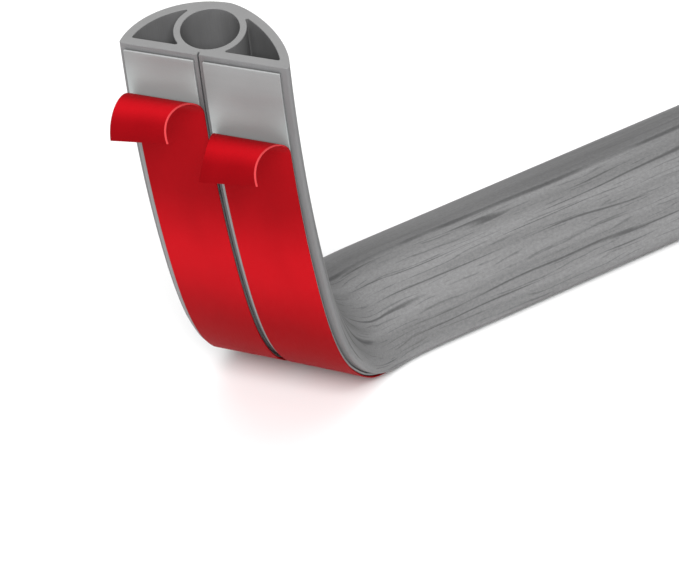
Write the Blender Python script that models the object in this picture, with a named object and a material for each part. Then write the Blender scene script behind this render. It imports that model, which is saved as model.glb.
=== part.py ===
"""Floor cord cover: a soft D-shaped extrusion with a round duct and two side chambers.

A straight run lies on the floor and the near end is lifted in one bend. Two adhesive
pads run under the base, and each keeps a film that has been peeled back at the lifted end.
Metres, +Z up. +X runs along the strip, away from the lifted end. The origin is the
middle of the bounding box's underside.
"""
import math

import bmesh
import bpy
from mathutils import Vector
from mathutils.geometry import tessellate_polygon

# Section of the extrusion
HALF_WIDTH = {1: 0.0297, -1: 0.0302}
HEIGHT = 0.0270
DUCT_DIAMETER = 0.0200
DUCT_FLOOR = 0.0031
DUCT_OFFSET = -0.0023
RING_WALL = 0.0024
DOME_WALL = 0.0031
BASE_WALL = 0.0034
FULLNESS = {1: 1.52, -1: 1.93}
EDGE_RADIUS = 0.0010
CHAMBER_RADIUS = 0.0006
SLIT_WIDTH = 0.0005
SLIT_DEPTH = 0.0015

# Adhesive pads and films, as positions across the base, positive to the right
LEFT_PAD = (-0.0285, -0.0038)
RIGHT_PAD = (-0.0006, 0.0266)
LEFT_FILM = (-0.0270, -0.0021)
RIGHT_FILM = (0.0006, 0.0270)
PAD_END_MARGIN = 0.0024
PAD_THICKNESS = 0.0008
FILM_THICKNESS = 0.0005
LAYER_GAP = 0.0003
LEFT_PEEL_FROM_END = 0.0260
RIGHT_PEEL_FROM_END = 0.0392
CURL_RADIUS = 0.0110
CURL_ANGLES = (math.radians(162), math.radians(149))
LEFT_CURL_SHIFT = (-0.0014, -0.0046)
RIGHT_CURL_SHIFT = (0.0012, -0.0036)
LEFT_CURL_FORWARD = (0.0, 0.0055)
RIGHT_CURL_FORWARD = (-0.0018, 0.0055)

# Course of the strip
LENGTH = 1.000
LIFTED_LENGTH = 0.2255
START_CURVATURE = math.radians(0.867) / 0.001
BEND_LENGTH = 0.121
STEADY_CURVATURE = math.radians(0.103) / 0.001
TURN_ANGLE = math.radians(30.1)
TURN_START = -0.030
TURN_END = 0.045
TWIST_ANGLE = math.radians(1.8)

# Fineness
DOME_STEPS = 28
DUCT_STEPS = 28
FINE_STEP = 0.0046
COARSE_STEP = 0.0100
FINE_END = 0.121
CURL_STEPS = 16

BASE_LEVEL = PAD_THICKNESS + FILM_THICKNESS + 2 * LAYER_GAP


def smooth(t):
    t = min(max(t, 0.0), 1.0)
    return t * t * (3.0 - 2.0 * t)


def curvature(s):
    """Upward curvature at a distance past the lift-off."""
    if s < 0.0:
        return 0.0
    return START_CURVATURE * (1.0 - smooth(s / BEND_LENGTH)) + STEADY_CURVATURE


def directions(s, rise):
    """Directions along, across and to the dome, with the sideways turn and the twist at a station."""
    turn = TURN_ANGLE * smooth((s - TURN_START) / (TURN_END - TURN_START))
    twist = TWIST_ANGLE * smooth(s / LIFTED_LENGTH)
    along = Vector((-math.cos(rise) * math.cos(turn), -math.cos(rise) * math.sin(turn), math.sin(rise)))
    level = Vector((math.sin(turn), -math.cos(turn), 0.0))
    across = math.cos(twist) * level + math.sin(twist) * along.cross(level)
    return along, across, along.cross(across)


def course(stations):
    """Place, direction along, direction across and dome direction at each rising station."""
    frames = []
    step = 0.00025
    s = stations[0]
    rise = 0.0
    place = Vector((-s, 0.0, BASE_LEVEL))
    for target in stations:
        count = math.ceil((target - s) / step - 1e-9)
        for left in range(count, 0, -1):
            d = (target - s) / left
            rise_mid = rise + curvature(s + d / 4) * d / 2
            place = place + directions(s + d / 2, rise_mid)[0] * d
            rise += curvature(s + d / 2) * d
            s += d
        s = target
        frames.append((place.copy(),) + directions(s, rise))
    return frames


def spaced(start, end, step):
    count = max(1, int(round((end - start) / step)))
    return [start + (end - start) * i / count for i in range(count + 1)]


def stations_between(start, end):
    """Stations along the strip, close together in the bend."""
    marks = [start]
    for a, b, step in ((TURN_START, 0.0, 0.005), (0.0, FINE_END, FINE_STEP),
                       (FINE_END, LIFTED_LENGTH, COARSE_STEP)):
        marks += [s for s in spaced(a, b, step) if start + 0.001 < s < end - 0.001]
    marks.append(end)
    kept = []
    for s in sorted(marks):
        if not kept or s - kept[-1] > 0.0005:
            kept.append(s)
    return kept


def arc(cx, cz, radius, start, end, steps):
    return [(cx + radius * math.cos(start + (end - start) * i / steps),
             cz + radius * math.sin(start + (end - start) * i / steps)) for i in range(steps + 1)]


def without_repeats(points):
    kept = []
    for p in points:
        if not kept or math.dist(p, kept[-1]) > 2e-5:
            kept.append(p)
    if math.dist(kept[0], kept[-1]) <= 2e-5:
        kept.pop()
    return kept


def flank(t, side, inset):
    """A point on one half of the dome, moved inward, with its outward angle.

    t runs from 0 at the base edge to a quarter turn at the top. The left half is mirrored.
    """
    n = FULLNESS[side]
    u, v = max(math.cos(t), 0.0) ** (2 / n), max(math.sin(t), 0.0) ** (2 / n)
    half = HALF_WIDTH[side]
    a = math.atan2(v ** (n - 1) / HEIGHT, u ** (n - 1) / half)
    return half * u - inset * math.cos(a), HEIGHT * v - inset * math.sin(a), a


def crossing(test, low, high):
    """Where a test that is negative at low and positive at high changes sign."""
    for _ in range(60):
        middle = (low + high) / 2
        if test(middle) > 0:
            high = middle
        else:
            low = middle
    return (low + high) / 2


def half_dome(side):
    """Rounded base edge and one half of the dome, up to the top."""
    r = EDGE_RADIUS
    t = crossing(lambda t: flank(t, side, r)[1] - r, 0.0, math.pi / 2)
    x, z, a = flank(t, side, r)
    points = arc(x, z, r, -math.pi / 2, a, 3)
    for i in range(1, DOME_STEPS // 2 + 1):
        points.append(flank(t + (math.pi / 2 - t) * i / (DOME_STEPS // 2), side, 0.0)[:2])
    return points


def outer_outline():
    slit = DUCT_OFFSET
    points = half_dome(1)
    points += [(-x, z) for x, z in reversed(half_dome(-1))]
    points += [(slit - SLIT_WIDTH / 2, 0.0), (slit - SLIT_WIDTH / 2, SLIT_DEPTH),
               (slit + SLIT_WIDTH / 2, SLIT_DEPTH), (slit + SLIT_WIDTH / 2, 0.0)]
    return without_repeats(points)


def duct_centre():
    return DUCT_OFFSET, DUCT_FLOOR + DUCT_DIAMETER / 2


def chamber_outline(side):
    """Chamber between the dome, the duct ring and the base, with rounded corners."""
    duct_x, duct_z = duct_centre()
    duct_x *= side
    f = CHAMBER_RADIUS
    inset = DOME_WALL + f
    ring = DUCT_DIAMETER / 2 + RING_WALL + f
    low = BASE_WALL + f

    def to_ring(t):
        x, z, _ = flank(t, side, inset)
        return ring - math.hypot(x - duct_x, z - duct_z)

    t_low = crossing(lambda t: flank(t, side, inset)[1] - low, 0.0, math.pi / 2)
    t_tip = crossing(to_ring, t_low, math.pi / 2)
    ax, az, a_low = flank(t_low, side, inset)
    cx, cz, a_tip = flank(t_tip, side, inset)
    bx = duct_x + math.sqrt(ring ** 2 - (duct_z - low) ** 2)
    ring_tip = math.atan2(cz - duct_z, cx - duct_x)
    ring_low = math.atan2(low - duct_z, bx - duct_x)
    points = arc(ax, az, f, -math.pi / 2, a_low, 3)
    points += [flank(t_low + (t_tip - t_low) * i / 7, side, DOME_WALL)[:2] for i in range(1, 8)]
    points += arc(cx, cz, f, a_tip, ring_tip + math.pi, 4)
    points += arc(duct_x, duct_z, ring - f, ring_tip, ring_low, 6)
    points += arc(bx, low, f, ring_low + math.pi, 1.5 * math.pi, 3)
    return without_repeats([(side * x, z) for x, z in points])


def duct_outline():
    x, z = duct_centre()
    return arc(x, z, DUCT_DIAMETER / 2, 0.0, 2 * math.pi, DUCT_STEPS)[:-1]


def strip_outline(span, low, high):
    return [(span[0], low), (span[1], low), (span[1], high), (span[0], high)]


def sweep(name, outlines, frames):
    """One closed body: outlines carried along the frames, with both ends closed."""
    mesh = bpy.data.meshes.new(name)
    bm = bmesh.new()
    rows = []
    for place, _, across, dome in frames:
        rows.append([[bm.verts.new(place + across * x + dome * z) for x, z in line] for line in outlines])
    for low, high in zip(rows, rows[1:]):
        for a, b in zip(low, high):
            for i in range(len(a)):
                j = (i + 1) % len(a)
                bm.faces.new((a[i], a[j], b[j], b[i]))
    flat = [[Vector((x, z, 0.0)) for x, z in line] for line in outlines]
    for end in (rows[0], rows[-1]):
        corners = [v for line in end for v in line]
        for tri in tessellate_polygon(flat):
            bm.faces.new([corners[i] for i in tri])
    bmesh.ops.recalc_face_normals(bm, faces=bm.faces)
    bent = [f for f in bm.faces if len(f.verts) > 3 and not is_flat(f)]
    bmesh.ops.triangulate(bm, faces=bent)
    if bm.calc_volume(signed=True) < 0:
        bmesh.ops.reverse_faces(bm, faces=bm.faces)
    bm.to_mesh(mesh)
    bm.free()
    return bpy.data.objects.new(name, mesh)


def is_flat(face):
    origin = face.verts[0].co
    return all(abs((v.co - origin).dot(face.normal)) < 1e-7 for v in face.verts)


def film_frames(span, peel_from_end, shift, forward):
    """Frames of a film: along the strip to the peel line, then round a skewed curl.

    In the curl each edge of the film moves across by its own shift, and forward and up by its own step.
    """
    start = -(LENGTH - LIFTED_LENGTH) + PAD_END_MARGIN
    peel = LIFTED_LENGTH - peel_from_end
    frames = course(stations_between(start, peel))
    place, along, across, dome = frames[-1]
    level = -(2 * LAYER_GAP + PAD_THICKNESS + FILM_THICKNESS / 2)
    for i in range(1, CURL_STEPS + 1):
        edges = []
        for x, whole, move, step in zip(span, CURL_ANGLES, shift, forward):
            a = whole * i / CURL_STEPS
            skew = math.sin(0.8 * a) ** 2
            out = CURL_RADIUS * (1.0 - math.cos(a)) + step * skew
            up = CURL_RADIUS * math.sin(a) + step * skew
            edges.append(place + across * (x + move * skew) + dome * (level - out) + along * up)
        wide = (edges[1] - edges[0]) / (span[1] - span[0])
        middle = sum(CURL_ANGLES) / 2 * i / CURL_STEPS
        ahead = along * math.cos(middle) - dome * math.sin(middle)
        outward = ahead.cross(wide).normalized()
        frames.append((edges[0] - wide * span[0] - outward * level, ahead, wide, outward))
    return frames


def material(name, color, roughness):
    made = bpy.data.materials.new(name)
    made.use_nodes = True
    shader = made.node_tree.nodes["Principled BSDF"]
    shader.inputs["Base Color"].default_value = (*color, 1.0)
    shader.inputs["Roughness"].default_value = roughness
    return made


def main():
    for item in list(bpy.data.objects):
        bpy.data.objects.remove(item, do_unlink=True)
    group = bpy.data.collections.new("floor_cord_cover")
    bpy.context.scene.collection.children.link(group)

    run_start = -(LENGTH - LIFTED_LENGTH)
    cover = sweep("cover_profile",
                  [outer_outline(), duct_outline(), chamber_outline(1), chamber_outline(-1)],
                  course(stations_between(run_start, LIFTED_LENGTH)))
    made = [(cover, material("soft_grey_plastic", (0.30, 0.30, 0.30), 0.6))]

    pad_low = -(LAYER_GAP + PAD_THICKNESS)
    film_low = -(2 * LAYER_GAP + PAD_THICKNESS + FILM_THICKNESS)
    pad_frames = course(stations_between(run_start + PAD_END_MARGIN, LIFTED_LENGTH - PAD_END_MARGIN))
    for side, pad_span, film_span, peel, curl in (
            ("left", LEFT_PAD, LEFT_FILM, LEFT_PEEL_FROM_END, (LEFT_CURL_SHIFT, LEFT_CURL_FORWARD)),
            ("right", RIGHT_PAD, RIGHT_FILM, RIGHT_PEEL_FROM_END, (RIGHT_CURL_SHIFT, RIGHT_CURL_FORWARD))):
        pad = sweep("adhesive_tape_" + side, [strip_outline(pad_span, pad_low, -LAYER_GAP)], pad_frames)
        made.append((pad, material("adhesive_" + side, (0.34, 0.34, 0.34), 0.7)))
        film = sweep("release_liner_" + side,
                     [strip_outline(film_span, film_low, film_low + FILM_THICKNESS)],
                     film_frames(film_span, peel, *curl))
        made.append((film, material("red_film_" + side, (0.55, 0.01, 0.02), 0.35)))

    corners = [v.co for item, _ in made for v in item.data.vertices]
    middle = [(min(c[i] for c in corners) + max(c[i] for c in corners)) / 2 for i in range(2)]
    for item, look in made:
        for vertex in item.data.vertices:
            vertex.co.x -= middle[0]
            vertex.co.y -= middle[1]
        item.data.materials.append(look)
        group.objects.link(item)


main()
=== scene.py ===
"""Floor cord cover: one strip with its near end lifted, two pads and their peeled red films."""
import math

import bmesh
import bpy
from bpy.props import FloatProperty, FloatVectorProperty, PointerProperty
from mathutils import Matrix, Vector
from mathutils.geometry import tessellate_polygon


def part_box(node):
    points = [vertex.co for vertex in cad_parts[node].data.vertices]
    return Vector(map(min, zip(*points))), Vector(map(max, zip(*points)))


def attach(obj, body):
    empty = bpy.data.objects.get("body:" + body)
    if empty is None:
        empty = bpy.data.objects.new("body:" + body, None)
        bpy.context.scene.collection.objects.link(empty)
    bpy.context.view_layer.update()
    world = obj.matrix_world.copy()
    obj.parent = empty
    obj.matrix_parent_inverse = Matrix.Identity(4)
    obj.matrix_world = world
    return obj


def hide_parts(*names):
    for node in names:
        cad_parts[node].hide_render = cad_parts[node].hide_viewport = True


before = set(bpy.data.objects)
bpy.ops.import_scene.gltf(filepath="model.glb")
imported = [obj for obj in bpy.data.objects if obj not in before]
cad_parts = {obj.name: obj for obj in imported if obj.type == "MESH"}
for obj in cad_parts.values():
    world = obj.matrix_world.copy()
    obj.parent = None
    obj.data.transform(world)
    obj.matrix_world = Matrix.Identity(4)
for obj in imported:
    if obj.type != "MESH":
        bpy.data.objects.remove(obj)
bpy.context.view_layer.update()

bl_info = {
    "name": "Floor Cord Cover",
    "version": (1, 0, 0),
    "blender": (4, 5, 0),
    "location": "3D View > Sidebar > Cord Cover",
    "description": "Builds a floor cord cover with its adhesive pads and peeled films, and a stage for it",
    "category": "Add Mesh",
}

COVER_HIGH = Vector(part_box("cover_profile")[1])
STRIP_MAP = "strip"
SHARP_ANGLE = math.radians(35)

# The photograph's frame, the lift-off point in it and the focal length, in pixels
FRAME_WIDTH, FRAME_HEIGHT = 679, 575
LIFT_OFF_RIGHT, LIFT_OFF_DOWN = 334.6, 335.8
FOCAL_PIXELS = 6722.1

# Both square softboxes: place from the lift-off point and width
TOP_PLACE, TOP_WIDTH = (0.1, 0.3, 2.8), 3.0
FRONT_PLACE, FRONT_WIDTH = (-1.45, -1.60, 1.84), 1.4

# A noise patch so wide that it is the same all round the section
ALL_ROUND = 10.0

# Painted highlight: how much paler a pad's side rims and cut ends are painted than its faces. Painted light:
# how strongly each pad is painted paler on the bare stretch past its peel line, against the shade of the
# curled film
PAD_HIGHLIGHT_LIFTS = {"face": 1.0, "rim": 1.1, "end": 1.7}
PEEL_LIGHT_SHARES = {"left": 1.0, "right": 0.75}


class CordCoverSection(bpy.types.PropertyGroup):
    """Sizes of the extruded section"""
    right_half: FloatProperty(
        name="Right Half", description="Width of the base to the right of the dome's top",
        default=0.0297, min=0.015, max=0.060, precision=4, subtype="DISTANCE")
    left_half: FloatProperty(
        name="Left Half", description="Width of the base to the left of the dome's top",
        default=0.0302, min=0.015, max=0.060, precision=4, subtype="DISTANCE")
    height: FloatProperty(
        name="Height", description="Height of the dome above the base",
        default=0.027, min=0.010, max=0.060, precision=4, subtype="DISTANCE")
    fullness_right: FloatProperty(
        name="Right Fullness", description="Shape of the dome's right flank, where 2 is an ellipse",
        default=1.52, min=1.2, max=3.0)
    fullness_left: FloatProperty(
        name="Left Fullness", description="Shape of the dome's left flank, where 2 is an ellipse",
        default=1.93, min=1.2, max=3.0)
    duct_diameter: FloatProperty(
        name="Duct Diameter", description="Diameter of the round duct for the cord",
        default=0.020, min=0.005, max=0.030, precision=4, subtype="DISTANCE")
    duct_floor: FloatProperty(
        name="Duct Floor", description="Thickness of plastic under the duct",
        default=0.0031, min=0.001, max=0.010, precision=4, subtype="DISTANCE")
    duct_offset: FloatProperty(
        name="Duct Offset", description="How far the duct and the slit lie to the right of the middle",
        default=-0.0023, min=-0.010, max=0.010, precision=4, subtype="DISTANCE")
    ring_wall: FloatProperty(
        name="Ring Wall", description="Wall between the duct and the side chambers",
        default=0.0024, min=0.0005, max=0.006, precision=4, subtype="DISTANCE")
    dome_wall: FloatProperty(
        name="Dome Wall", description="Wall between the side chambers and the dome",
        default=0.0031, min=0.0005, max=0.006, precision=4, subtype="DISTANCE")
    base_wall: FloatProperty(
        name="Base Wall", description="Wall between the side chambers and the base",
        default=0.0034, min=0.0005, max=0.006, precision=4, subtype="DISTANCE")
    edge_radius: FloatProperty(
        name="Edge Radius", description="Rounding along both edges of the base",
        default=0.0010, min=0.0002, max=0.003, precision=4, subtype="DISTANCE")
    corner_radius: FloatProperty(
        name="Chamber Corner Radius", description="Rounding in the corners of the side chambers",
        default=0.0005, min=0.0002, max=0.002, precision=4, subtype="DISTANCE")
    slit_width: FloatProperty(
        name="Slit Width", description="Width of the slit along the base",
        default=0.0005, min=0.0002, max=0.003, precision=4, subtype="DISTANCE")
    slit_depth: FloatProperty(
        name="Slit Depth", description="Depth of the slit along the base",
        default=0.0015, min=0.0002, max=0.003, precision=4, subtype="DISTANCE")
    cut_easing: FloatProperty(
        name="Cut Easing", description="Small chamfer that a knife leaves round both cut ends",
        default=0.00015, min=0.0, max=0.001, precision=5, subtype="DISTANCE")


class CordCoverCourse(bpy.types.PropertyGroup):
    """Length of the strip and the bend of its lifted end"""
    length: FloatProperty(
        name="Length", description="Whole length along the base",
        default=1.0, min=0.4, max=3.0, subtype="DISTANCE")
    lifted_length: FloatProperty(
        name="Lifted Length", description="Length of the near end that has left the floor",
        default=0.2255, min=0.05, max=0.5, subtype="DISTANCE")
    start_curvature: FloatProperty(
        name="Start Curvature", description="Curvature that the bend adds at the lift-off, per metre",
        default=math.radians(867.0), min=0.0, max=60.0)
    steady_curvature: FloatProperty(
        name="Steady Curvature", description="Curvature that stays up to the end, per metre",
        default=math.radians(103.0), min=0.0, max=10.0)
    bend_length: FloatProperty(
        name="Bend Length", description="Length over which the start curvature fades out",
        default=0.121, min=0.02, max=0.3, subtype="DISTANCE")
    turn_angle: FloatProperty(
        name="Turn", description="Sideways turn of the lifted end",
        default=math.radians(30.1), min=0.0, max=1.2, subtype="ANGLE")
    turn_start: FloatProperty(
        name="Turn Start", description="Where the turn starts, from the lift-off",
        default=-0.030, min=-0.2, max=0.1, subtype="DISTANCE")
    turn_end: FloatProperty(
        name="Turn End", description="Where the turn is complete, from the lift-off",
        default=0.045, min=0.0, max=0.2, subtype="DISTANCE")
    twist: FloatProperty(
        name="Twist", description="Twist of the lifted end about its own length",
        default=math.radians(1.8), min=-0.5, max=0.5, subtype="ANGLE")


class CordCoverLayers(bpy.types.PropertyGroup):
    """Sizes of the pads and the films under the base"""
    left_pad: FloatVectorProperty(
        name="Left Pad", description="Both edges of the left pad across the base, positive to the right",
        default=(-0.0285, -0.0038), size=2, precision=4, unit="LENGTH")
    right_pad: FloatVectorProperty(
        name="Right Pad", description="Both edges of the right pad across the base, positive to the right",
        default=(-0.0006, 0.0266), size=2, precision=4, unit="LENGTH")
    pad_thickness: FloatProperty(
        name="Pad Thickness", description="Thickness of the adhesive pads",
        default=0.0008, min=0.0002, max=0.003, precision=4, subtype="DISTANCE")
    pad_margin: FloatProperty(
        name="Pad End Margin", description="Bare length of base beyond each end of the pads",
        default=0.0024, min=0.0, max=0.02, precision=4, subtype="DISTANCE")
    pad_easing: FloatProperty(
        name="Pad Edge Rounding", description="Rounding of the edges of the pads",
        default=0.00012, min=0.00005, max=0.0005, precision=5, subtype="DISTANCE")
    film_thickness: FloatProperty(
        name="Film Thickness", description="Thickness of the films",
        default=0.0005, min=0.0001, max=0.001, precision=4, subtype="DISTANCE")
    layer_gap: FloatProperty(
        name="Layer Gap", description="Room between base, pad and film",
        default=0.0003, min=0.0, max=0.001, precision=4, subtype="DISTANCE")
    left_film: FloatVectorProperty(
        name="Left Film", description="Both edges of the left film across the base, positive to the right",
        default=(-0.0270, -0.0021), size=2, precision=4, unit="LENGTH")
    right_film: FloatVectorProperty(
        name="Right Film", description="Both edges of the right film across the base, positive to the right",
        default=(0.0006, 0.0270), size=2, precision=4, unit="LENGTH")
    film_drift: FloatProperty(
        name="Film Drift", description="How far both films wander to the left along the flat run",
        default=0.0014, min=0.0, max=0.0015, precision=4, subtype="DISTANCE")
    film_rim: FloatProperty(
        name="Film Rim", description="Width of the paler rim along the right edge of each curl",
        default=0.0006, min=0.0002, max=0.003, precision=4, subtype="DISTANCE")
    left_peel: FloatProperty(
        name="Left Peel", description="Length of the left pad that is bare at the lifted end",
        default=0.0260, min=0.0, max=0.2, precision=4, subtype="DISTANCE")
    right_peel: FloatProperty(
        name="Right Peel", description="Length of the right pad that is bare at the lifted end",
        default=0.0392, min=0.0, max=0.2, precision=4, subtype="DISTANCE")
    curl_radius: FloatProperty(
        name="Curl Radius", description="Radius of the curl of each film",
        default=0.0110, min=0.003, max=0.03, precision=4, subtype="DISTANCE")
    curl_angles: FloatVectorProperty(
        name="Curl Angles", description="How far the left and the right edge of each film curl round",
        default=(math.radians(162), math.radians(149)), size=2, min=0.2, max=3.2, unit="ROTATION")
    left_curl_shift: FloatVectorProperty(
        name="Left Curl Shift", description="How far the left film's edges move right in the curl",
        default=(-0.0014, -0.0046), size=2, precision=4, unit="LENGTH")
    right_curl_shift: FloatVectorProperty(
        name="Right Curl Shift", description="How far the right film's edges move right in the curl",
        default=(0.0012, -0.0036), size=2, precision=4, unit="LENGTH")
    left_curl_forward: FloatVectorProperty(
        name="Left Curl Forward", description="How far the left film's edges come forward in the curl",
        default=(0.0, 0.0055), size=2, precision=4, unit="LENGTH")
    right_curl_forward: FloatVectorProperty(
        name="Right Curl Forward", description="How far the right film's edges come forward in the curl",
        default=(-0.0018, 0.0055), size=2, precision=4, unit="LENGTH")


class CordCoverFinish(bpy.types.PropertyGroup):
    """Colours of the cover, the pads and the films"""
    grain_light: FloatVectorProperty(
        name="Grain Ground", description="Ground colour of the wood-grain skin",
        default=(0.148, 0.148, 0.149), size=3, min=0.0, max=1.0, subtype="COLOR")
    # Also the colour that the painted shade on the far flank blends towards
    grain_dark_and_shade: FloatVectorProperty(
        name="Grain Streaks", description="Colour of the dark streaks in the wood grain",
        default=(0.040, 0.040, 0.041), size=3, min=0.0, max=1.0, subtype="COLOR")
    plain_grey: FloatVectorProperty(
        name="Plain Grey", description="Colour of the underside and the rims",
        default=(0.122, 0.122, 0.124), size=3, min=0.0, max=1.0, subtype="COLOR")
    inner_grey: FloatVectorProperty(
        name="Inner Grey", description="Colour of the inside walls of the duct and the chambers",
        default=(0.125, 0.125, 0.126), size=3, min=0.0, max=1.0, subtype="COLOR")
    cut_grey: FloatVectorProperty(
        name="Cut Grey", description="Colour of the freshly cut ends",
        default=(0.164, 0.164, 0.164), size=3, min=0.0, max=1.0, subtype="COLOR")
    pad_grey: FloatVectorProperty(
        name="Pad Grey", description="Colour of the adhesive pads",
        default=(0.180, 0.183, 0.183), size=3, min=0.0, max=1.0, subtype="COLOR")
    film_red: FloatVectorProperty(
        name="Film Red", description="Colour of the release films",
        default=(0.375, 0.0046, 0.0085), size=3, min=0.0, max=1.0, subtype="COLOR")
    # Painted highlight: the paler rim along the right edge of each curl
    film_edge_red: FloatVectorProperty(
        name="Film Edge Red", description="Colour of the cut edges of the films",
        default=(0.480, 0.044, 0.049), size=3, min=0.0, max=1.0, subtype="COLOR")
    # Painted highlight: where the paler band in the bend is painted on the films
    film_highlight_place: FloatProperty(
        name="Taut Place", description="Where the bend strains and pales the films most, from the lift-off",
        default=0.120, min=0.0, max=0.5, precision=4, subtype="DISTANCE")
    streak_length: FloatProperty(
        name="Streak Length", description="Usual length of a streak in the wood grain",
        default=0.070, min=0.005, max=0.3, subtype="DISTANCE")
    streak_gap: FloatProperty(
        name="Streak Gap", description="Usual distance between streaks in the wood grain",
        default=0.0050, min=0.0005, max=0.03, precision=4, subtype="DISTANCE")


class CordCoverStage(bpy.types.PropertyGroup):
    """The floor, the lights and the camera"""
    floor_radius: FloatProperty(
        name="Floor Radius", description="Radius of the round floor",
        default=9.0, min=1.0, max=50.0, subtype="DISTANCE")
    floor_colour: FloatVectorProperty(
        name="Floor Colour", description="Colour of the floor",
        default=(0.86, 0.86, 0.86), size=3, min=0.0, max=1.0, subtype="COLOR")
    sky_strength: FloatProperty(
        name="Sky Strength", description="Strength of the even light from all round",
        default=0.35, min=0.0, max=5.0)
    top_power: FloatProperty(
        name="Top Power", description="Power of the softbox overhead",
        default=44.0, min=0.0, max=2000.0, unit="POWER")
    front_power: FloatProperty(
        name="Front Power", description="Power of the softbox in front of the lifted end",
        default=112.0, min=0.0, max=2000.0, unit="POWER")
    bearing: FloatProperty(
        name="Camera Bearing", description="Direction that the camera looks in, measured from +X",
        default=math.radians(49.807), subtype="ANGLE")
    pitch: FloatProperty(
        name="Camera Pitch", description="How far the camera looks down",
        default=math.radians(31.072), subtype="ANGLE")
    roll: FloatProperty(
        name="Camera Roll", description="How far the camera leans sideways",
        default=math.radians(0.274), subtype="ANGLE")
    distance: FloatProperty(
        name="Camera Distance", description="Distance from the lift-off point to the camera along its view",
        default=2.4202, min=0.5, max=20.0, subtype="DISTANCE")
    focal_ratio: FloatProperty(
        name="Focal Ratio", description="Focal length as a share of the picture's width",
        default=FOCAL_PIXELS / FRAME_WIDTH, min=0.5, max=30.0)
    aim: FloatVectorProperty(
        name="Aim", description="Where the lift-off stands, in picture widths right and down of the middle",
        default=((LIFT_OFF_RIGHT - FRAME_WIDTH / 2) / FRAME_WIDTH,
                 (LIFT_OFF_DOWN - FRAME_HEIGHT / 2) / FRAME_WIDTH), size=2, precision=4)


class CordCoverSettings(bpy.types.PropertyGroup):
    """All settings of the floor cord cover"""
    section: PointerProperty(type=CordCoverSection)
    course: PointerProperty(type=CordCoverCourse)
    layers: PointerProperty(type=CordCoverLayers)
    finish: PointerProperty(type=CordCoverFinish)
    stage: PointerProperty(type=CordCoverStage)


# Section

def arc(cx, cz, radius, start, end, steps):
    """Points of an arc in the section."""
    return [(cx + radius * math.cos(start + (end - start) * i / steps),
             cz + radius * math.sin(start + (end - start) * i / steps)) for i in range(steps + 1)]


def flank(section, t, side, inset):
    """A point on one half of the dome, moved inward, with its outward angle."""
    half, n = ((section.right_half, section.fullness_right) if side > 0
               else (section.left_half, section.fullness_left))
    u, v = max(math.cos(t), 0.0) ** (2 / n), max(math.sin(t), 0.0) ** (2 / n)
    a = math.atan2(v ** (n - 1) / section.height, u ** (n - 1) / half)
    return half * u - inset * math.cos(a), section.height * v - inset * math.sin(a), a


def crossing(test, low, high, halvings=50):
    """Where a test that is negative at low and positive at high changes sign."""
    for _ in range(halvings):
        middle = (low + high) / 2
        if test(middle) > 0:
            high = middle
        else:
            low = middle
    return (low + high) / 2


def half_dome(section, side, steps=40, edge_steps=6):
    """Rounded base edge and one half of the dome, up to the top."""
    r = section.edge_radius
    t = crossing(lambda t: flank(section, t, side, r)[1] - r, 0.0, math.pi / 2)
    x, z, a = flank(section, t, side, r)
    points = arc(x, z, r, -math.pi / 2, a, edge_steps)
    points += [flank(section, t + (math.pi / 2 - t) * i / steps, side, 0.0)[:2] for i in range(1, steps + 1)]
    return [(side * x, z) for x, z in points], edge_steps


def outer_outline(section, lip_steps=3):
    """Outline of the whole section with the look of each stretch."""
    right, edge_steps = half_dome(section, 1)
    left, _ = half_dome(section, -1)
    left.reverse()
    points = right + left[1:]
    looks = ["plain"] * edge_steps + ["grain"] * (len(points) - 1 - 2 * edge_steps) + ["plain"] * edge_steps
    lip = section.slit_width / 5
    low, high = section.duct_offset - section.slit_width / 2, section.duct_offset + section.slit_width / 2
    groove = arc(low - lip, lip, lip, -math.pi / 2, 0.0, lip_steps)
    groove += [(low, section.slit_depth), (high, section.slit_depth)]
    groove += arc(high + lip, lip, lip, math.pi, 1.5 * math.pi, lip_steps)
    points += groove
    looks += ["plain"] * (len(groove) + 1)
    return points, looks


def duct_centre(section):
    """Middle of the duct, across and up."""
    return section.duct_offset, section.duct_floor + section.duct_diameter / 2


def chamber_outline(section, side, wall_steps=18, ring_steps=16, corner_steps=4, tip_steps=5):
    """Chamber between the dome, the duct ring and the base, with rounded corners."""
    duct_x, duct_z = duct_centre(section)
    duct_x *= side
    f = section.corner_radius
    inset = section.dome_wall + f
    ring = section.duct_diameter / 2 + section.ring_wall + f
    low = section.base_wall + f

    def to_ring(t):
        x, z, _ = flank(section, t, side, inset)
        return ring - math.hypot(x - duct_x, z - duct_z)

    t_low = crossing(lambda t: flank(section, t, side, inset)[1] - low, 0.0, math.pi / 2)
    t_tip = crossing(to_ring, t_low, math.pi / 2)
    ax, az, a_low = flank(section, t_low, side, inset)
    cx, cz, a_tip = flank(section, t_tip, side, inset)
    bx = duct_x + math.sqrt(ring ** 2 - (duct_z - low) ** 2)
    ring_tip = math.atan2(cz - duct_z, cx - duct_x)
    ring_low = math.atan2(low - duct_z, bx - duct_x)
    points = arc(ax, az, f, -math.pi / 2, a_low, corner_steps)
    points += [flank(section, t_low + (t_tip - t_low) * i / wall_steps, side, section.dome_wall)[:2]
               for i in range(1, wall_steps)]
    points += arc(cx, cz, f, a_tip, ring_tip + math.pi, tip_steps)
    points += arc(duct_x, duct_z, ring - f, ring_tip, ring_low, ring_steps)[1:-1]
    points += arc(bx, low, f, ring_low + math.pi, 1.5 * math.pi, corner_steps)
    points = [(side * x, z) for x, z in points]
    return points, ["inner"] * len(points)


def duct_outline(section, steps=64):
    """Round duct with its look."""
    x, z = duct_centre(section)
    return arc(x, z, section.duct_diameter / 2, 0.0, 2 * math.pi, steps)[:-1], ["inner"] * steps


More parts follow.
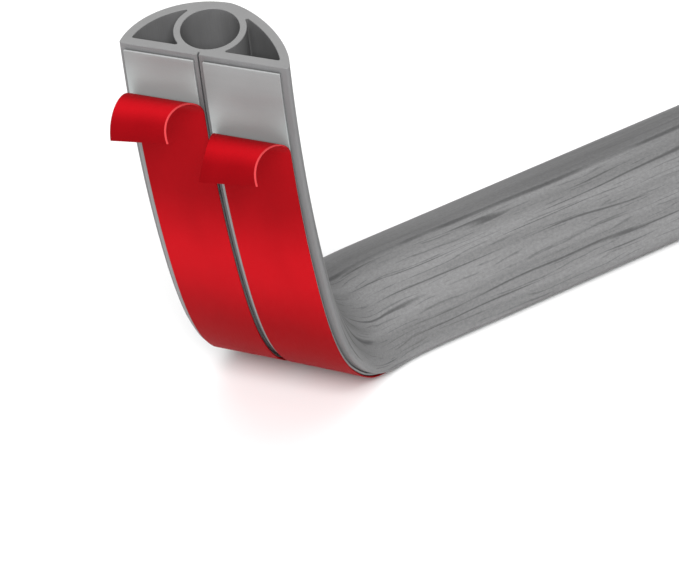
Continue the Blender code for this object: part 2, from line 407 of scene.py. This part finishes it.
def rounded_strip(low_x, high_x, low_z, high_z, r, rim, steps=3):
    """A long rectangle with rounded corners, and the look of each stretch: rims beside its long faces."""
    points = arc(low_x + r, low_z + r, r, math.pi, 1.5 * math.pi, steps)
    points += [(low_x + rim, low_z), (high_x - rim, low_z)]
    points += arc(high_x - r, low_z + r, r, 1.5 * math.pi, 2 * math.pi, steps)
    points += arc(high_x - r, high_z - r, r, 0.0, math.pi / 2, steps)
    points += [(high_x - rim, high_z), (low_x + rim, high_z)]
    points += arc(low_x + r, high_z - r, r, math.pi / 2, math.pi, steps)
    half = ["rim"] * (steps + 1) + ["face"] + ["rim"] * (steps + 2)
    return points, half * 2


def signed_area(points):
    """Area inside an outline, positive where it runs anticlockwise."""
    return sum(a[0] * b[1] - b[0] * a[1] for a, b in zip(points, points[1:] + points[:1])) / 2


def eased(points, distance, hole, sharpest=0.5):
    """The outline moved into the material by a small distance, with a limit at sharp corners."""
    sign = 1.0 if (signed_area(points) > 0) != hole else -1.0
    moved = []
    for i, (x, z) in enumerate(points):
        (ax, az), (bx, bz) = points[i - 1], points[(i + 1) % len(points)]
        first, second = Vector((x - ax, z - az)), Vector((bx - x, bz - z))
        first.normalize()
        second.normalize()
        way = first + second
        if way.length < 1e-6:
            way = second
        way.normalize()
        reach = distance / max(way.dot(second), sharpest)
        moved.append((x - sign * way.y * reach, z + sign * way.x * reach))
    return moved


# Course

def smooth(t):
    """A smooth step from 0 to 1."""
    t = min(max(t, 0.0), 1.0)
    return t * t * (3.0 - 2.0 * t)


def curvature(course, s):
    """Upward curvature at a distance past the lift-off."""
    if s < 0.0:
        return 0.0
    return course.start_curvature * (1.0 - smooth(s / course.bend_length)) + course.steady_curvature


def directions(course, s, rise):
    """Directions along, across and to the dome, with the sideways turn and the twist at a station."""
    turn = course.turn_angle * smooth((s - course.turn_start) / (course.turn_end - course.turn_start))
    twist = course.twist * smooth(s / course.lifted_length)
    along = Vector((-math.cos(rise) * math.cos(turn), -math.cos(rise) * math.sin(turn), math.sin(rise)))
    level = Vector((math.sin(turn), -math.cos(turn), 0.0))
    across = math.cos(twist) * level + math.sin(twist) * along.cross(level)
    return along, across, along.cross(across)


def lift_off(settings):
    """Where the base leaves the floor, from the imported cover's own box."""
    course, layers = settings.course, settings.layers
    level = layers.pad_thickness + layers.film_thickness + 2 * layers.layer_gap
    return Vector((COVER_HIGH.x - (course.length - course.lifted_length),
                   COVER_HIGH.y - settings.section.left_half, level))


def place_stations(settings, stations, step=0.00025):
    """Place, direction along, direction across and dome direction at each rising station."""
    course = settings.course
    placed = []
    s = stations[0]
    rise = 0.0
    place = lift_off(settings) + Vector((-s, 0.0, 0.0))
    for target in stations:
        count = math.ceil((target - s) / step - 1e-9)
        for left in range(count, 0, -1):
            d = (target - s) / left
            rise_mid = rise + curvature(course, s + d / 4) * d / 2
            place = place + directions(course, s + d / 2, rise_mid)[0] * d
            rise += curvature(course, s + d / 2) * d
            s += d
        s = target
        placed.append((place.copy(),) + directions(course, s, rise))
    return placed


def stations_between(course, start, end, fine=0.002, coarse=0.004, straight=0.025, closest=0.0001):
    """Stations along the strip, close together in the bend."""
    marks = [start, end]
    for a, b, step in ((start, course.turn_start, straight), (course.turn_start, course.bend_length, fine),
                       (course.bend_length, course.lifted_length, coarse)):
        count = max(1, round((b - a) / step))
        marks += [a + (b - a) * i / count for i in range(count + 1)]
    kept = []
    for s in sorted(m for m in marks if start <= m <= end):
        if not kept or s - kept[-1] > closest:
            kept.append(s)
    kept[-1] = end
    return kept


# Meshes

def sweep(name, rows, looks, materials, cap_look):
    """One closed body from rows of (station, frame, outlines), with a map in metres along and around."""
    mesh = bpy.data.meshes.new(name)
    bm = bmesh.new()
    uv = bm.loops.layers.uv.new(STRIP_MAP)
    slots = {look: i for i, look in enumerate(materials)}
    rings = [[[bm.verts.new(place + across * x + dome * z) for x, z in line] for line in outlines]
             for _, (place, _, across, dome), outlines in rows]
    middle = rows[len(rows) // 2][2]
    walks = []
    for line in middle:
        walk = [0.0]
        for a, b in zip(line, line[1:] + line[:1]):
            walk.append(walk[-1] + math.dist(a, b))
        top = max(range(len(line)), key=lambda i: line[i][1])
        walks.append([w - walk[top] for w in walk])
    for k in range(len(rows) - 1):
        low, high = rows[k][0], rows[k + 1][0]
        for line, walk, look in zip(range(len(walks)), walks, looks):
            a, b = rings[k][line], rings[k + 1][line]
            for i in range(len(a)):
                j = (i + 1) % len(a)
                face = bm.faces.new((a[i], a[j], b[j], b[i]))
                face.material_index = slots[look[i]]
                for loop, at in zip(face.loops, ((low, walk[i]), (low, walk[i + 1]),
                                                 (high, walk[i + 1]), (high, walk[i]))):
                    loop[uv].uv = at
    for ring, (_, _, outlines) in ((rings[0], rows[0]), (rings[-1], rows[-1])):
        corners = [corner for line in ring for corner in line]
        flat = [[Vector((x, z, 0.0)) for x, z in line] for line in outlines]
        places = [place for line in flat for place in line]
        for triangle in tessellate_polygon(flat):
            face = bm.faces.new([corners[i] for i in triangle])
            face.material_index = slots[cap_look]
            for loop, i in zip(face.loops, triangle):
                loop[uv].uv = places[i].xy
    bmesh.ops.recalc_face_normals(bm, faces=bm.faces)
    if bm.calc_volume(signed=True) < 0:
        bmesh.ops.reverse_faces(bm, faces=bm.faces)
    for face in bm.faces:
        face.smooth = True
    bm.to_mesh(mesh)
    bm.free()
    mesh.set_sharp_from_angle(angle=SHARP_ANGLE)
    for look in materials:
        mesh.materials.append(materials[look])
    piece = bpy.data.objects.new(name, mesh)
    bpy.context.scene.collection.objects.link(piece)
    return piece


def with_eased_ends(stations, radius, steps=4):
    """Each station with its inset, so that both ends are rounded over."""
    turns = [math.pi / 2 * i / steps for i in range(steps + 1)]
    ends = [(radius * (1 - math.cos(turn)), radius * (1 - math.sin(turn))) for turn in turns]
    start, end = stations[0], stations[-1]
    inner = [(s, 0.0) for s in stations[1:-1] if start + radius < s < end - radius]
    return [(start + d, i) for d, i in ends] + inner + [(end - d, i) for d, i in reversed(ends)]


# Materials

def add(tree, kind, inputs=None, **options):
    """A new node with its options and inputs set, where an input is a value or another node's output."""
    made = tree.nodes.new("ShaderNode" + kind)
    for key, value in options.items():
        setattr(made, key, value)
    for key, value in (inputs or {}).items():
        if isinstance(value, bpy.types.NodeSocket):
            tree.links.new(value, made.inputs[key])
        else:
            made.inputs[key].default_value = value
    return made


def new_material(name):
    """A new material with its node tree and its shader."""
    made = bpy.data.materials.new(name)
    made.use_nodes = True
    tree = made.node_tree
    return made, tree, tree.nodes["Principled BSDF"]


def strip_place(tree):
    """The place on the strip in metres: along, and around the section from its top."""
    return add(tree, "UVMap", uv_map=STRIP_MAP).outputs[0]


def calc(tree, operation, a, b=0.0, clamp=False):
    """The result of one step of arithmetic on outputs or numbers."""
    return add(tree, "Math", {0: a, 1: b}, operation=operation, use_clamp=clamp).outputs[0]


def remap(tree, value, low, high, to_low=0.0, to_high=1.0):
    """A smooth step from one result to another as the value goes from low to high."""
    return add(tree, "MapRange", {"Value": value, "From Min": low, "From Max": high,
                                  "To Min": to_low, "To Max": to_high},
               interpolation_type="SMOOTHSTEP").outputs[0]


def blend(tree, share, a, b, blend_type="MIX"):
    """Two colours or outputs blended."""
    made = add(tree, "Mix", {0: share}, data_type="RGBA", blend_type=blend_type)
    for socket, value in ((made.inputs[6], a), (made.inputs[7], b)):
        if isinstance(value, bpy.types.NodeSocket):
            tree.links.new(value, socket)
        else:
            socket.default_value = (*value, 1.0)
    return made.outputs[2]


def stretched_noise(tree, place, along, around, seed, detail=2.0, roughness=0.5):
    """Noise whose patches have about the given sizes in metres along and around the strip."""
    at = add(tree, "Mapping", {"Vector": place, "Location": (seed, seed * 1.7, 0.0),
                               "Scale": (1.0 / along, 1.0 / around, 1.0)}).outputs[0]
    return add(tree, "TexNoise", {"Vector": at, "Scale": 1.0, "Detail": detail, "Roughness": roughness},
               noise_dimensions="2D").outputs[0]


def scaled(colour, *shares):
    """A colour times one share, or times one share for each channel."""
    return tuple(c * share for c, share in zip(colour, shares * (3 // len(shares))))


def weighted(tree, *terms):
    """Sum of outputs, each times its weight."""
    total = None
    for value, weight in terms:
        term = calc(tree, "MULTIPLY", value, weight)
        total = term if total is None else calc(tree, "ADD", total, term)
    return total


def centred(tree, noise, reach):
    """Noise that swings evenly about zero."""
    return calc(tree, "MULTIPLY", calc(tree, "SUBTRACT", noise, 0.5), reach)


def near(tree, value, middle, core, reach):
    """One within the core about the middle, and zero past the reach."""
    distance = calc(tree, "ABSOLUTE", calc(tree, "SUBTRACT", value, middle))
    return remap(tree, distance, core, reach, 1.0, 0.0)


def two_tones(tree, share, colour, low, high):
    """The colour between a lower and a higher share of itself."""
    return blend(tree, share, scaled(colour, low), scaled(colour, high))


def overlaid(tree, strength, colour, texture, dark, light):
    """The colour with a texture between two greys laid over it in soft light."""
    return blend(tree, strength, colour, blend(tree, texture, (dark,) * 3, (light,) * 3), "SOFT_LIGHT")


def link_surface(tree, shader, colour, rough, height, strength, depth):
    """Gives the shader its colour, its roughness and a fine relief."""
    relief = add(tree, "Bump", {"Height": height, "Strength": strength, "Distance": depth})
    for key, output in (("Base Color", colour), ("Roughness", rough), ("Normal", relief.outputs[0])):
        tree.links.new(output, shader.inputs[key])


def grain_lines(tree, place, gap, run, width, seed):
    """Thin dark lines along the strip with uneven gaps, each broken into tapering streaks."""
    bend_swing, least_reach = 2.6, 0.01
    v = add(tree, "SeparateXYZ", {"Vector": place}).outputs["Y"]
    bend = stretched_noise(tree, place, along=run * 2.5, around=gap * 2.2, seed=seed)
    phase = calc(tree, "ADD", calc(tree, "DIVIDE", v, gap), calc(tree, "MULTIPLY", bend, bend_swing))
    distance = calc(tree, "ABSOLUTE", calc(tree, "SUBTRACT", calc(tree, "FRACT", phase), 0.5))
    presence = stretched_noise(tree, place, along=run, around=gap * 0.7, seed=seed + 40.0)
    presence = remap(tree, presence, 0.39, 0.62)
    reach = calc(tree, "ADD", calc(tree, "MULTIPLY", presence, width / gap), least_reach)
    return calc(tree, "MULTIPLY", remap(tree, distance, 0.0, reach, 1.0, 0.0), presence)


def wood_grain(finish):
    """Embossed and printed wood grain that runs along the strip, with painted shade darkening the far flank
    past the seam.
    """
    sway_reach, seam_wander, seam_place = 0.0024, 0.0025, -0.0008
    long_width, short_width = 0.00068, 0.00040
    long_depth, short_depth, seam_depth = 0.82, 0.45, 0.80
    # The first calms the streaks on the far flank; the second is the strength of the painted shade there
    far_calm, far_painted_shade = 0.75, 0.30
    length, gap = finish.streak_length, finish.streak_gap
    made, tree, shader = new_material("wood_grain_vinyl")
    place = strip_place(tree)
    sway = stretched_noise(tree, place, along=0.060, around=0.012, seed=3.1, detail=1.0)
    sideways = add(tree, "CombineXYZ", {"Y": centred(tree, sway, sway_reach)}).outputs[0]
    swayed = add(tree, "VectorMath", {0: place, 1: sideways}, operation="ADD").outputs[0]

    long_streaks = grain_lines(tree, swayed, gap, length, long_width, seed=11.3)
    short_streaks = grain_lines(tree, swayed, gap * 0.42, length * 0.30, short_width, seed=27.9)
    bands = stretched_noise(tree, swayed, along=length * 2.0, around=gap * 1.1, seed=41.7)
    fibres = stretched_noise(tree, swayed, along=0.006, around=0.00024, seed=5.5, detail=3.0)
    speckle = stretched_noise(tree, place, along=0.0016, around=0.0009, seed=8.2, detail=3.0, roughness=0.75)

    # A seam line near the top of the dome, and past it a calmer print, darkened partly as a darker print and
    # partly as painted shade of the far flank
    v = add(tree, "SeparateXYZ", {"Vector": swayed}).outputs["Y"]
    wander = stretched_noise(tree, place, along=0.075, around=ALL_ROUND, seed=60.3, detail=1.0)
    past_seam = calc(tree, "ADD", v, centred(tree, wander, seam_wander))
    strength = stretched_noise(tree, place, along=0.035, around=ALL_ROUND, seed=71.1)
    seam_line = calc(tree, "MULTIPLY", near(tree, past_seam, seam_place, 0.0003, 0.0015),
                     remap(tree, strength, 0.30, 0.60, 0.25, 1.0))
    far_side = remap(tree, past_seam, seam_place - 0.0006, seam_place + 0.0006)

    dark = calc(tree, "MAXIMUM", calc(tree, "MULTIPLY", long_streaks, long_depth),
                calc(tree, "MULTIPLY", short_streaks, short_depth))
    kept = calc(tree, "SUBTRACT", 1.0, calc(tree, "MULTIPLY", far_side, far_calm))
    dark = calc(tree, "MULTIPLY", dark, kept)
    dark = calc(tree, "MAXIMUM", dark, calc(tree, "MULTIPLY", seam_line, seam_depth))
    colour = two_tones(tree, remap(tree, bands, 0.30, 0.70), finish.grain_light, 0.82, 1.10)
    # Painted shade: the far flank past the seam is blended towards the streak colour
    colour = blend(tree, calc(tree, "MULTIPLY", far_side, far_painted_shade), colour, finish.grain_dark_and_shade)
    colour = blend(tree, dark, colour, finish.grain_dark_and_shade)
    colour = overlaid(tree, 0.26, colour, fibres, dark=0.22, light=0.85)
    colour = overlaid(tree, 0.55, colour, speckle, dark=0.15, light=0.90)
    rough = remap(tree, weighted(tree, (dark, 1.0), (speckle, 0.4)), 0.0, 1.0, 0.50, 0.68)
    height = weighted(tree, (fibres, 0.35), (dark, -1.0), (speckle, 0.25))
    link_surface(tree, shader, colour, rough, height, strength=0.35, depth=0.00012)
    return made


def plain_vinyl(name, colour, die_lines, low_rough, high_rough):
    """Smooth extruded vinyl with faint lines from the die and a little mottling."""
    made, tree, shader = new_material(name)
    place = strip_place(tree)
    lines = stretched_noise(tree, place, along=0.35, around=0.00045, seed=15.2)
    cloud = stretched_noise(tree, place, along=0.018, around=0.007, seed=33.8, detail=3.0)
    grit = stretched_noise(tree, place, along=0.0006, around=0.0006, seed=52.4, roughness=0.65)
    tone = weighted(tree, (lines, 0.35), (cloud, 0.45), (grit, 0.20))
    shade = two_tones(tree, remap(tree, tone, 0.30, 0.70), colour, 0.93, 1.06)
    rough = remap(tree, cloud, 0.25, 0.75, low_rough, high_rough)
    height = weighted(tree, (lines, die_lines), (grit, 0.30))
    link_surface(tree, shader, shade, rough, height, strength=0.22, depth=0.00008)
    return made


def cut_vinyl(finish):
    """A knife-cut face with faint drag marks."""
    drag_slant = math.radians(24)
    made, tree, shader = new_material("cut_vinyl")
    place = strip_place(tree)
    slanted = add(tree, "Mapping", {"Vector": place, "Rotation": (0.0, 0.0, drag_slant)}).outputs[0]
    drag = stretched_noise(tree, slanted, along=0.040, around=0.00035, seed=9.4, detail=3.0)
    cloud = stretched_noise(tree, place, along=0.009, around=0.009, seed=21.6, detail=3.0)
    tone = weighted(tree, (drag, 0.5), (cloud, 0.5))
    shade = two_tones(tree, remap(tree, tone, 0.32, 0.68), finish.cut_grey, 0.96, 1.04)
    rough = remap(tree, drag, 0.2, 0.8, 0.52, 0.66)
    link_surface(tree, shader, shade, rough, drag, strength=0.20, depth=0.00006)
    return made


def adhesive(finish, name, lift, peel_line, peel_light_share):
    """Tacky foam with fine cells and a slight sheen; painted highlight makes the rims and cut ends paler,
    and painted light makes the bare stretch past the peel line paler, against the shade of the curled film.
    """
    cells_per_metre = 2600.0
    # Tint and extent of the painted light past the peel line
    peel_light_tint, peel_light_start, peel_light_end = (1.60, 1.73, 1.72), 0.009, 0.024
    made, tree, shader = new_material(name)
    place = strip_place(tree)
    cells = add(tree, "TexVoronoi", {"Vector": place, "Scale": cells_per_metre},
                voronoi_dimensions="2D").outputs["Distance"]
    cloud = stretched_noise(tree, place, along=0.030, around=0.012, seed=14.9, detail=3.0)
    pull = stretched_noise(tree, place, along=0.0040, around=0.0150, seed=62.2)
    # Painted highlight: the rims and cut ends get a paler colour than the faces
    colour = scaled(finish.pad_grey, lift)
    tone = weighted(tree, (cloud, 0.7), (cells, 0.3))
    shade = two_tones(tree, remap(tree, tone, 0.25, 0.75), colour, 0.96, 1.03)
    along = add(tree, "SeparateXYZ", {"Vector": place}).outputs["X"]
    # Painted light on the bare stretch past the peel line, against the shade of the curled film
    peel_light = calc(tree, "MULTIPLY", remap(tree, along, peel_line - 0.004, peel_line + 0.004),
                 remap(tree, along, peel_line + peel_light_start, peel_line + peel_light_end, peel_light_share, 0.0))
    shade = blend(tree, peel_light, shade, scaled(colour, *peel_light_tint))
    rough = remap(tree, pull, 0.3, 0.7, 0.46, 0.60)
    height = weighted(tree, (cells, 0.5), (pull, 0.5))
    link_surface(tree, shader, shade, rough, height, strength=0.18, depth=0.00008)
    return made


def release_film(finish, name, highlight_at, rim_highlight_share):
    """Satin film with painted highlight bands in the middle of the bend and on the curl, painted shade
    elsewhere that darkens towards the curl's end, a painted highlight rim where asked, random tone, a soft
    ripple and fine rub marks.
    """
    # Reach of the painted highlight in the bend, place and reach of the one on the curl, and where the
    # painted shade on the curl is darkest
    highlight_reach, curl_highlight_at, curl_highlight_reach, curl_shade_end = 0.045, 0.0175, 0.007, 0.030
    made, tree, shader = new_material(name)
    place = strip_place(tree)
    along = add(tree, "SeparateXYZ", {"Vector": place}).outputs["X"]
    cloud = stretched_noise(tree, place, along=0.040, around=0.015, seed=17.3)
    waves = stretched_noise(tree, place, along=0.011, around=0.060, seed=29.5, detail=1.0)
    rub = stretched_noise(tree, place, along=0.006, around=0.00020, seed=48.8, detail=3.0)
    # Painted highlight bands in the middle of the bend and on the curl; away from them the film is painted
    # darker as shade, with random tone mixed in
    highlight_and_mottle = calc(tree, "MAXIMUM", near(tree, along, highlight_at, 0.0, highlight_reach),
                  near(tree, along, curl_highlight_at, 0.0, curl_highlight_reach))
    highlight_and_mottle = calc(tree, "ADD", highlight_and_mottle, centred(tree, cloud, 0.5), clamp=True)
    shade = two_tones(tree, highlight_and_mottle, finish.film_red, 0.64, 1.02)
    # Painted shade, darker towards the end of the curl
    shade = blend(tree, remap(tree, along, 0.017, curl_shade_end, 0.0, 0.5), shade, scaled(finish.film_red, 0.30))
    # Painted highlight along the right edge of the curl, fading in past the peel line
    shade = blend(tree, remap(tree, along, 0.003, 0.011, 0.0, rim_highlight_share), shade, finish.film_edge_red)
    rough = remap(tree, rub, 0.25, 0.75, 0.40, 0.50)
    height = weighted(tree, (waves, 1.0), (rub, 0.04))
    link_surface(tree, shader, shade, rough, height, strength=0.10, depth=0.0004)
    shader.inputs["Metallic"].default_value = 0.05
    shader.inputs["Specular IOR Level"].default_value = 0.01
    shader.inputs["Specular Tint"].default_value = (0.80, 0.06, 0.07, 1.0)
    return made


def floor_paint(stage):
    """Plain pale floor with the faintest cloud."""
    made, tree, shader = new_material("pale_floor")
    place = add(tree, "TexCoord").outputs["Object"]
    cloud = add(tree, "TexNoise", {"Vector": place, "Scale": 1.5, "Detail": 3.0}).outputs[0]
    tree.links.new(two_tones(tree, cloud, stage.floor_colour, 0.99, 1.01), shader.inputs["Base Color"])
    shader.inputs["Roughness"].default_value = 0.75
    shader.inputs["Specular IOR Level"].default_value = 0.2
    return made


# Operators

class CORDCOVER_OT_profile(bpy.types.Operator):
    """Build the extruded cover with its dome, duct, side chambers and slit"""
    bl_idname = "cord_cover.profile"
    bl_label = "Cover Profile"
    bl_options = {"REGISTER", "UNDO"}

    def execute(self, context):
        settings = context.scene.cord_cover
        section, course, finish = settings.section, settings.course, settings.finish
        lines, looks = zip(outer_outline(section), duct_outline(section),
                           chamber_outline(section, 1), chamber_outline(section, -1))
        lines = [list(line) for line in lines]
        cut = section.cut_easing
        at_end = [eased(line, cut, i > 0) for i, line in enumerate(lines)]
        start, end = course.lifted_length - course.length, course.lifted_length
        stations = stations_between(course, start + cut, end - cut)
        stations = [start] + stations + [end]
        placed = place_stations(settings, stations)
        rows = [(s, f, at_end if s in (start, end) else lines) for s, f in zip(stations, placed)]
        materials = {
            "grain": wood_grain(finish),
            "plain": plain_vinyl("plain_vinyl", finish.plain_grey, 1.0, 0.46, 0.58),
            "inner": plain_vinyl("inner_vinyl", finish.inner_grey, 0.6, 0.50, 0.62),
            "cut": cut_vinyl(finish),
        }
        piece = sweep("cover_strip", rows, looks, materials, "cut")
        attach(piece, "root")
        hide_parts("cover_profile")
        return {"FINISHED"}


class CORDCOVER_OT_pads(bpy.types.Operator):
    """Build the two adhesive pads under the base"""
    bl_idname = "cord_cover.pads"
    bl_label = "Adhesive Pads"
    bl_options = {"REGISTER", "UNDO"}

    def execute(self, context):
        settings = context.scene.cord_cover
        course, layers, finish = settings.course, settings.layers, settings.finish
        low, high = -(layers.layer_gap + layers.pad_thickness), -layers.layer_gap
        start = course.lifted_length - course.length + layers.pad_margin
        stations = stations_between(course, start, course.lifted_length - layers.pad_margin)
        plan = with_eased_ends(stations, layers.pad_easing)
        placed = place_stations(settings, [s for s, _ in plan])
        for side, peel_light_share in PEEL_LIGHT_SHARES.items():
            span = getattr(layers, side + "_pad")
            peel_line = course.lifted_length - getattr(layers, side + "_peel")
            # Painted highlight on rims and ends, and painted light past the peel line, for each side
            materials = {look: adhesive(finish, side + "_adhesive_" + look, lift, peel_line, peel_light_share)
                         for look, lift in PAD_HIGHLIGHT_LIFTS.items()}
            rows = []
            for (s, inset), f in zip(plan, placed):
                line, look = rounded_strip(span[0] + inset, span[1] - inset, low + inset, high - inset,
                                           layers.pad_easing, 2 * layers.pad_easing)
                rows.append((s, f, [line]))
            piece = sweep(side + "_pad", rows, [look], materials, "end")
            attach(piece, "root")
            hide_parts("adhesive_tape_" + side)
        return {"FINISHED"}


class CORDCOVER_OT_films(bpy.types.Operator):
    """Build the two red films, peeled back in a curl at the lifted end"""
    bl_idname = "cord_cover.films"
    bl_label = "Release Films"
    bl_options = {"REGISTER", "UNDO"}

    def execute(self, context):
        settings = context.scene.cord_cover
        course, layers, finish = settings.course, settings.layers, settings.finish
        high = -(2 * layers.layer_gap + layers.pad_thickness)
        low = high - layers.film_thickness
        start = course.lifted_length - course.length + layers.pad_margin
        corner = layers.film_thickness * 0.3
        drift_start, drift_length = 0.025, 0.040
        for side in ("left", "right"):
            span, peel, shift, forward = (
                getattr(layers, side + key) for key in ("_film", "_peel", "_curl_shift", "_curl_forward"))
            # Place of the painted highlight band, measured from this film's peel line
            highlight_at = finish.film_highlight_place - course.lifted_length + peel
            materials = {"face": release_film(finish, side + "_film_face", highlight_at, 0.0),
                         "rim": release_film(finish, side + "_film_rim", highlight_at, 1.0)}
            stations = stations_between(course, start, course.lifted_length - peel)
            placed = place_stations(settings, stations)
            stations, placed = self.curl(layers, stations, placed, (span, shift, forward), (low + high) / 2)
            line, look = rounded_strip(*span, low, high, corner, layers.film_rim, steps=2)
            # Only the right edge gets the painted highlight rim
            look = [kind if x > sum(span) / 2 else "face" for kind, (x, _) in zip(look, line)]
            rows = []
            for s, f in zip(stations, placed):
                drift = layers.film_drift * smooth((drift_start - s) / drift_length)
                rows.append((s - course.lifted_length + peel, f, [[(x - drift, z) for x, z in line]]))
            piece = sweep(side + "_film", rows, [look], materials, "face")
            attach(piece, "root")
            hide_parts("release_liner_" + side)
        return {"FINISHED"}

    @staticmethod
    def curl(layers, stations, placed, edges_plan, level, steps=48, skew_rate=0.8):
        """Carries the film round its skewed curl, past the line where it leaves the pad.

        The plan holds, for both edges, their place across and how far they shift and come forward.
        """
        place, along, across, dome = placed[-1]
        stations, placed = list(stations), list(placed)
        angles, radius = layers.curl_angles, layers.curl_radius
        span = edges_plan[0]
        for i in range(1, steps + 1):
            edges = []
            for x, move, forward, whole in zip(*edges_plan, angles):
                a = whole * i / steps
                skew = math.sin(skew_rate * a) ** 2
                out = radius * (1.0 - math.cos(a)) + forward * skew
                up = radius * math.sin(a) + forward * skew
                edges.append(place + across * (x + move * skew) + dome * (level - out) + along * up)
            wide = (edges[1] - edges[0]) / (span[1] - span[0])
            middle = sum(angles) / 2 * i / steps
            ahead = along * math.cos(middle) - dome * math.sin(middle)
            outward = ahead.cross(wide).normalized()
            placed.append((edges[0] - wide * span[0] - outward * level, ahead, wide, outward))
            stations.append(stations[-1] + radius * sum(angles) / 2 / steps)
        return stations, placed


class CORDCOVER_OT_stage(bpy.types.Operator):
    """Add the floor, the lights and the camera"""
    bl_idname = "cord_cover.stage"
    bl_label = "Stage"
    bl_options = {"REGISTER", "UNDO"}

    def execute(self, context):
        settings = context.scene.cord_cover
        scene, stage = context.scene, settings.stage
        self.add_floor(scene, stage)
        target = lift_off(settings)
        self.add_light(scene, "softbox_top", target, TOP_PLACE, TOP_WIDTH, stage.top_power)
        self.add_light(scene, "softbox_front", target, FRONT_PLACE, FRONT_WIDTH, stage.front_power)
        world = bpy.data.worlds.new("studio")
        world.use_nodes = True
        sky = world.node_tree.nodes["Background"]
        sky.inputs["Color"].default_value = (1.0, 1.0, 1.0, 1.0)
        sky.inputs["Strength"].default_value = stage.sky_strength
        scene.world = world
        scene.view_settings.view_transform = "Standard"
        self.add_camera(scene, stage, target)
        return {"FINISHED"}

    @staticmethod
    def add_floor(scene, stage):
        mesh = bpy.data.meshes.new("floor")
        bm = bmesh.new()
        bmesh.ops.create_circle(bm, cap_ends=True, segments=96, radius=stage.floor_radius)
        bm.to_mesh(mesh)
        bm.free()
        mesh.materials.append(floor_paint(stage))
        floor = bpy.data.objects.new("floor", mesh)
        scene.collection.objects.link(floor)

    @staticmethod
    def add_light(scene, name, target, offset, width, power):
        light = bpy.data.lights.new(name, "AREA")
        light.shape = "SQUARE"
        light.size, light.energy = width, power
        lamp = bpy.data.objects.new(name, light)
        lamp.location = target + Vector(offset)
        lamp.rotation_euler = (target - lamp.location).to_track_quat("-Z", "Y").to_euler()
        scene.collection.objects.link(lamp)

    @staticmethod
    def add_camera(scene, stage, target):
        ahead = Vector((math.cos(stage.bearing), math.sin(stage.bearing), 0.0))
        right = Vector((math.sin(stage.bearing), -math.cos(stage.bearing), 0.0))
        view = math.cos(stage.pitch) * ahead - math.sin(stage.pitch) * Vector((0.0, 0.0, 1.0))
        up = right.cross(view)
        right, up = (math.cos(stage.roll) * right + math.sin(stage.roll) * up,
                     math.cos(stage.roll) * up - math.sin(stage.roll) * right)
        shift = right * stage.aim[0] - up * stage.aim[1]
        lens = bpy.data.cameras.new("camera")
        lens.sensor_width = 36.0
        lens.lens = stage.focal_ratio * lens.sensor_width
        lens.clip_end = 100.0
        camera = bpy.data.objects.new("camera", lens)
        turn = Matrix((right, up, -view)).transposed().to_4x4()
        turn.translation = target - stage.distance * (view + shift / stage.focal_ratio)
        camera.matrix_world = turn
        scene.collection.objects.link(camera)
        scene.camera = camera


class CORDCOVER_PT_panel(bpy.types.Panel):
    """Settings and builders of the floor cord cover"""
    bl_idname = "CORDCOVER_PT_panel"
    bl_label = "Cord Cover"
    bl_space_type = "VIEW_3D"
    bl_region_type = "UI"
    bl_category = "Cord Cover"

    def draw(self, context):
        settings = context.scene.cord_cover
        for operator in OPERATORS:
            self.layout.operator(operator.bl_idname)
        for group in (settings.section, settings.course, settings.layers, settings.finish, settings.stage):
            box = self.layout.box()
            box.label(text=group.bl_rna.description)
            for key in group.__annotations__:
                box.prop(group, key)


GROUPS = (CordCoverSection, CordCoverCourse, CordCoverLayers, CordCoverFinish, CordCoverStage,
          CordCoverSettings)
OPERATORS = (CORDCOVER_OT_profile, CORDCOVER_OT_pads, CORDCOVER_OT_films, CORDCOVER_OT_stage)
CLASSES = GROUPS + OPERATORS + (CORDCOVER_PT_panel,)


def register():
    for kind in CLASSES:
        bpy.utils.register_class(kind)
    bpy.types.Scene.cord_cover = PointerProperty(type=CordCoverSettings)


def unregister():
    del bpy.types.Scene.cord_cover
    for kind in reversed(CLASSES):
        bpy.utils.unregister_class(kind)


def main():
    register()
    bpy.ops.cord_cover.profile()
    bpy.ops.cord_cover.pads()
    bpy.ops.cord_cover.films()
    bpy.ops.cord_cover.stage()


if __name__ == "__main__":
    main()
